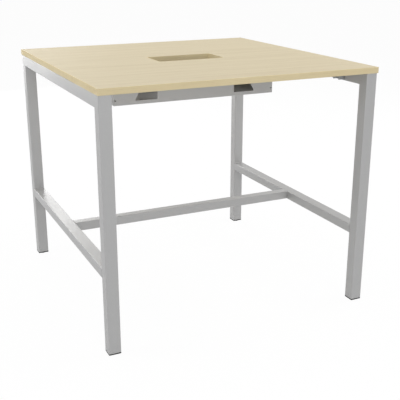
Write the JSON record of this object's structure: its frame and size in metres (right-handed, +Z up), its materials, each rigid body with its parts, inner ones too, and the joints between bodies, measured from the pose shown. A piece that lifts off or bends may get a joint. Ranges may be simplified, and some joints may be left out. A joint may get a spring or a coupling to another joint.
{
  "type": "standing meeting table",
  "caption": "Square bar-height meeting table on a welded square-tube frame with side rails, a middle stretcher, a cable cut-out over a folded steel cable tray, and levelling feet.",
  "frame": {"origin": "on the floor, below the middle of the board", "axes": "X along the front edge to the right, Y towards the back, Z up; the front is the side shown with the long face of the cable tray"},
  "size_m": [1.2, 1.2, 1.05],
  "materials": {
    "maple_board": "pale maple laminate over chipboard, satin, faint grain along X",
    "maple_edging": "maple edging strip, a little deeper in tone than the top, satin",
    "silver_paint": "silver-grey powder coat on steel, fine texture, satin",
    "black_plastic": "black moulded plastic, matt",
    "zinc_steel": "zinc-plated steel, dull"
  },
  "bodies": {
    "table": {"table_board": "maple_board", "cutout_edging": "maple_edging", "edging_front": "maple_edging", "edging_back": "maple_edging", "edging_left": "maple_edging", "edging_right": "maple_edging", "top_rail_left": "silver_paint", "lower_rail_left": "silver_paint", "top_rail_right": "silver_paint", "lower_rail_right": "silver_paint", "stretcher": "silver_paint", "leg_front_left": "silver_paint", "board_bracket_front_left": "zinc_steel", "foot_insert_front_left": "black_plastic", "foot_nut_front_left": "zinc_steel", "leg_front_right": "silver_paint", "board_bracket_front_right": "zinc_steel", "foot_insert_front_right": "black_plastic", "foot_nut_front_right": "zinc_steel", "leg_back_left": "silver_paint", "board_bracket_back_left": "zinc_steel", "foot_insert_back_left": "black_plastic", "foot_nut_back_left": "zinc_steel", "leg_back_right": "silver_paint", "board_bracket_back_right": "zinc_steel", "foot_insert_back_right": "black_plastic", "foot_nut_back_right": "zinc_steel", "bracket_board_screws": "zinc_steel", "bracket_rail_screws": "zinc_steel", "cable_tray": "silver_paint", "tray_screws": "zinc_steel"},
    "levelling_foot_front_left": {"glide_stud_front_left": "zinc_steel", "glide_base_front_left": "black_plastic"},
    "levelling_foot_front_right": {"glide_stud_front_right": "zinc_steel", "glide_base_front_right": "black_plastic"},
    "levelling_foot_back_left": {"glide_stud_back_left": "zinc_steel", "glide_base_back_left": "black_plastic"},
    "levelling_foot_back_right": {"glide_stud_back_right": "zinc_steel", "glide_base_back_right": "black_plastic"}
  },
  "joints": [
    {"name": "foot_height_front_left", "type": "slide", "parent": "table", "child": "levelling_foot_front_left", "axis": [0, 0, -1], "range_m": [0, 0.015]},
    {"name": "foot_height_front_right", "type": "slide", "parent": "table", "child": "levelling_foot_front_right", "axis": [0, 0, -1], "range_m": [0, 0.015]},
    {"name": "foot_height_back_left", "type": "slide", "parent": "table", "child": "levelling_foot_back_left", "axis": [0, 0, -1], "range_m": [0, 0.015]},
    {"name": "foot_height_back_right", "type": "slide", "parent": "table", "child": "levelling_foot_back_right", "axis": [0, 0, -1], "range_m": [0, 0.015]}
  ]
}
